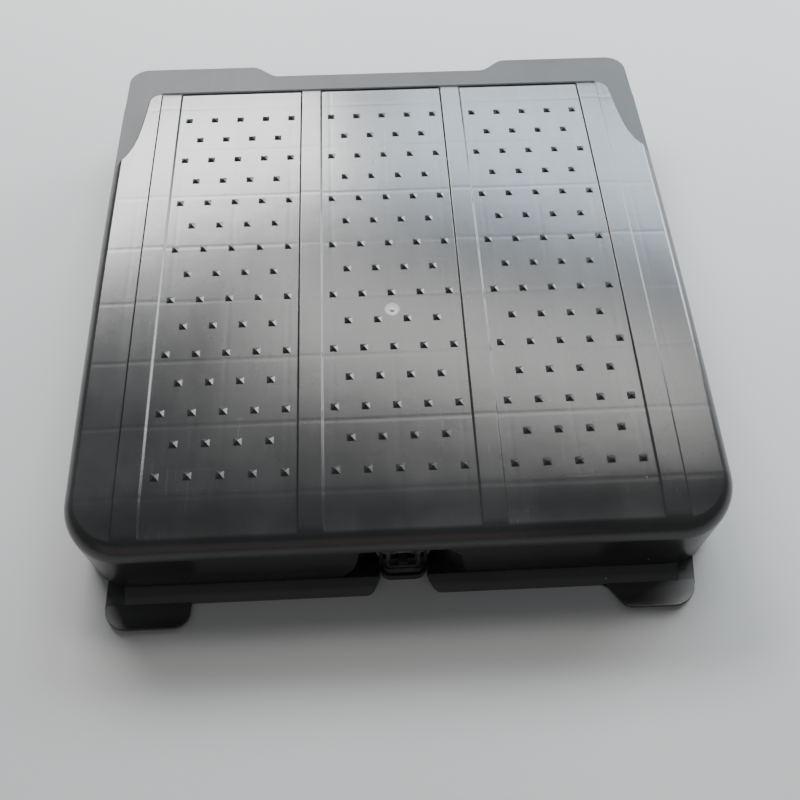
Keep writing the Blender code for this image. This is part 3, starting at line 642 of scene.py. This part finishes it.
def mouldingMaterial():
    made, shader, field, place = newMaterial("mouldedPlastic", moulding["smooth"])
    xyz = field.node("SeparateXYZ", {}, {0: place})
    node = xyz.socket.node
    x, y, z = (Field(field.tree, node.outputs[i]) for i in range(3))

    # sink lines over the ribs on the underside
    acrossRib = abs((y * (1 / cover["ribPitchY"])) % 1 - 0.5) * cover["ribPitchY"]
    fromCentre = abs((x * (1 / cover["panelPitch"]) + 0.5) % 1 - 0.5) * cover["panelPitch"]
    wide = moulding["sinkWidth"]
    rows = acrossRib.between(0, wide, 1, 0)
    beside = abs(fromCentre - moulding["ribBeside"])
    columns = fromCentre.between(0, wide, 1, 0) + beside.between(0, wide, 1, 0)
    onTop = z.between(0.088, 0.096)
    sinks = (rows + columns * 0.8) * onTop

    cloud = field.noise(place, 9, 4, 0.55)
    smears = field.noise(place, 30, 5, 0.6, (1, 0.12, 1))
    fine = field.noise(place, 900, 3, 0.6)
    streaks = field.noise(place, 70, 4, 0.65, (1, 0.06, 1))
    hairlines = field.noise(place, 260, 2, 0.5, (1, 0.03, 1)).between(0.60, 0.78)
    crossHairs = field.noise(place, 240, 2, 0.5, (0.04, 1, 1)).between(0.62, 0.80)
    patches = field.noise(place, 6, 2, 0.5).between(0.45, 0.62)
    scratches = (hairlines + crossHairs * 0.7) * patches

    # dust sits in a few of the cells only
    cells = {"Vector": place, "Scale": moulding["dustScale"], "Randomness": 1.0}
    specks = field.node("TexVoronoi", {"feature": "F1"}, cells, 0)
    chosen = field.node("TexVoronoi", {"feature": "F1"}, cells, 1)
    lucky = field.node("SeparateColor", {}, {0: chosen}).between(0.965, 0.985)
    dust = specks.between(0.035, 0.075, 1, 0) * lucky

    fromGate = field.node("VectorMath", {"operation": "DISTANCE"},
                          {0: place, 1: (0, gate["y"], floorZ)}, 1)
    gateHalo = fromGate.between(0.004, 0.0105, 1, 0) * z.between(0.100, 0.108)

    # the lip and the flange and tabs at the front are duller than the tread; the flange and tabs
    # are also painted lighter, painted light for the light they get in the cover's shade
    matteLip = z.between(0.0975, 0.0985, 1, 0) * y.between(0.13, 0.17)
    flangeTabsDullAndPaintedLight = z.between(0.0045, 0.0085, 1, 0) * y.between(-0.337, -0.329, 1, 0)

    base = field.mixColour(cloud.between(0.35, 0.68), moulding["dark"], moulding["light"])
    # painted light: the flange and tabs are lightened where the cover shades them
    base = field.mixColour(flangeTabsDullAndPaintedLight * 0.8, base, moulding["foot"])
    base = field.mixColour(scratches * 0.08, base, moulding["scuff"])
    base = field.mixColour(gateHalo * 0.75, base, moulding["gate"])
    base = field.mixColour(dust * 0.8, base, moulding["dust"])
    connect(shader, "Base Color", base)

    span = moulding["dull"] - moulding["smooth"]
    rough = cloud * (0.7 * span) + smears.between(0.25, 0.8) * (0.5 * span) + moulding["smooth"]
    rough = rough + scratches * 0.03 + gateHalo * 0.2 + dust * 0.3
    rough = rough + matteLip * moulding["lipDull"] + flangeTabsDullAndPaintedLight * moulding["footDull"]
    connect(shader, "Roughness", rough)

    height = sinks * (-moulding["sinkDepth"]) + fine * moulding["fineHeight"]
    height = height + cloud * moulding["cloudHeight"]
    height = height - scratches * moulding["scratchHeight"]
    height = height + streaks * moulding["streakHeight"] * onTop
    bump = field.node("Bump", {}, {"Strength": 1.0, "Distance": 1.0, "Height": height})
    connect(shader, "Normal", bump)
    return made


def plainPlastic(name, colour, roughness, grain):
    made, shader, field, place = newMaterial(name, roughness)
    cloud = field.noise(place, 60, 4)
    lighter = tuple(min(1, c * 1.7) for c in colour[:3]) + (1,)
    connect(shader, "Base Color", field.mixColour(cloud.between(0.3, 0.7), colour, lighter))
    connect(shader, "Roughness", cloud * 0.16 + (roughness - 0.08))
    fine = field.noise(place, 2200, 2)
    bump = field.node("Bump", {}, {"Strength": 1.0, "Distance": 1.0, "Height": fine * grain})
    connect(shader, "Normal", bump)
    return made


def blackenedSteel():
    made, shader, field, place = newMaterial("blackenedSteel", 0.4, 1.0)
    cloud = field.noise(place, 400, 4)
    colour = field.mixColour(cloud.between(0.3, 0.7), (0.07, 0.07, 0.072, 1),
                             (0.13, 0.13, 0.13, 1))
    connect(shader, "Base Color", colour)
    connect(shader, "Roughness", cloud * 0.25 + 0.28)
    drawn = field.noise(place, 3000, 2, 0.5, (0.05, 1, 1))
    bump = field.node("Bump", {}, {"Strength": 1.0, "Distance": 1.0, "Height": drawn * 0.00001})
    connect(shader, "Normal", bump)
    return made


def spongeRubber():
    made, shader, field, place = newMaterial("spongeRubber", 0.92)
    cells = field.node("TexVoronoi", {"feature": "F1"}, {"Vector": place, "Scale": 900.0}, 0)
    pores = cells.between(0.15, 0.5, 1, 0)
    # the pores are painted darker: painted shade in their hollows; they are also rougher and
    # dented by the bump
    colour = field.mixColour(pores, (0.055, 0.055, 0.057, 1), (0.018, 0.018, 0.019, 1))
    connect(shader, "Base Color", colour)
    connect(shader, "Roughness", pores * 0.06 + 0.88)
    bump = field.node("Bump", {}, {"Strength": 1.0, "Distance": 1.0, "Height": pores * -0.0003})
    connect(shader, "Normal", bump)
    return made


print("mixing the materials")
dress([coverPiece, studPiece, latchPieces["eyeHousing"]], mouldingMaterial())
dress([latchPieces["pullLever"]],
      plainPlastic("leverNylon", (0.03, 0.03, 0.031, 1), 0.38, 0.00001))
steelNames = [name for name in latch if name not in ("eyeHousing", "pullLever")]
dress([latchPieces[name] for name in steelNames], blackenedSteel())
dress(bufferPieces, plainPlastic("bufferRubber", (0.014, 0.014, 0.015, 1), 0.72, 0.00002))
dress(padPieces, spongeRubber())


studio = {
    "floor": (0.37, 0.37, 0.365, 1), "floorSize": 6,
    "world": (0.80, 0.83, 0.88, 1), "worldPower": 0.30,
    # name: place, aim, size, power, colour
    "lights": {
        "rearLeft": ((-0.95, 2.45, 2.1), (0, 0.15, 0.1), (1.8, 0.85), 190, (0.99, 0.99, 1.0)),
        "rearRight": ((0.95, 2.45, 2.1), (0, 0.15, 0.1), (1.9, 0.85), 110, (0.74, 0.88, 1.0)),
        "overhead": ((0.45, 1.20, 2.30), (0.05, -0.15, 0.1), (2.0, 0.55), 42, (1.0, 0.985, 0.95)),
        "rightWindow": ((2.1, 1.6, 1.0), (0, 0, 0.1), (1.3, 1.5), 100, (0.93, 0.97, 1.0)),
        "frontFill": ((-0.8, -2.8, 0.9), (0, -0.3, 0.05), (3.2, 1.5), 6, (1.0, 0.86, 0.68)),
    },
}
view = {"place": (-0.0222, -0.6382, 0.9079), "aim": (0.0030, -0.1735, 0.1115), "roll": 0.43,
        "lens": 40.5, "sensor": 36}


def towards(aim, place):
    return (Vector(aim) - Vector(place)).to_track_quat("-Z", "Y")


print("setting up the floor, the lights and the camera")

floorMesh = bmesh.new()
bmesh.ops.create_grid(floorMesh, x_segments=1, y_segments=1, size=studio["floorSize"])
floor = makePiece("studioFloor", floorMesh)
floorPaint, floorShader, floorField, floorPlace = newMaterial("paleFloor", 0.7)
grainy = floorField.noise(floorPlace, 3, 3).between(0.2, 0.8)
pale = studio["floor"]
connect(floorShader, "Base Color",
        floorField.mixColour(grainy, pale, tuple(c * 0.97 for c in pale[:3]) + (1,)))
floor.data.materials.append(floorPaint)

world = bpy.data.worlds.new("studio")
world.use_nodes = True
world.node_tree.nodes["Background"].inputs["Color"].default_value = studio["world"]
world.node_tree.nodes["Background"].inputs["Strength"].default_value = studio["worldPower"]
bpy.context.scene.world = world

for name, (place, aim, size, power, colour) in studio["lights"].items():
    lamp = bpy.data.lights.new(name, "AREA")
    lamp.shape = "RECTANGLE"
    lamp.size, lamp.size_y = size
    lamp.energy, lamp.color = power, colour
    lampObject = bpy.data.objects.new(name, lamp)
    lampObject.location = place
    lampObject.rotation_euler = towards(aim, place).to_euler()
    bpy.context.scene.collection.objects.link(lampObject)

cameraData = bpy.data.cameras.new("camera")
cameraData.lens, cameraData.sensor_width = view["lens"], view["sensor"]
camera = bpy.data.objects.new("camera", cameraData)
camera.location = view["place"]
rolled = Euler((0, 0, math.radians(view["roll"]))).to_quaternion()
camera.rotation_euler = (towards(view["aim"], view["place"]) @ rolled).to_euler()
bpy.context.scene.collection.objects.link(camera)
bpy.context.scene.camera = camera
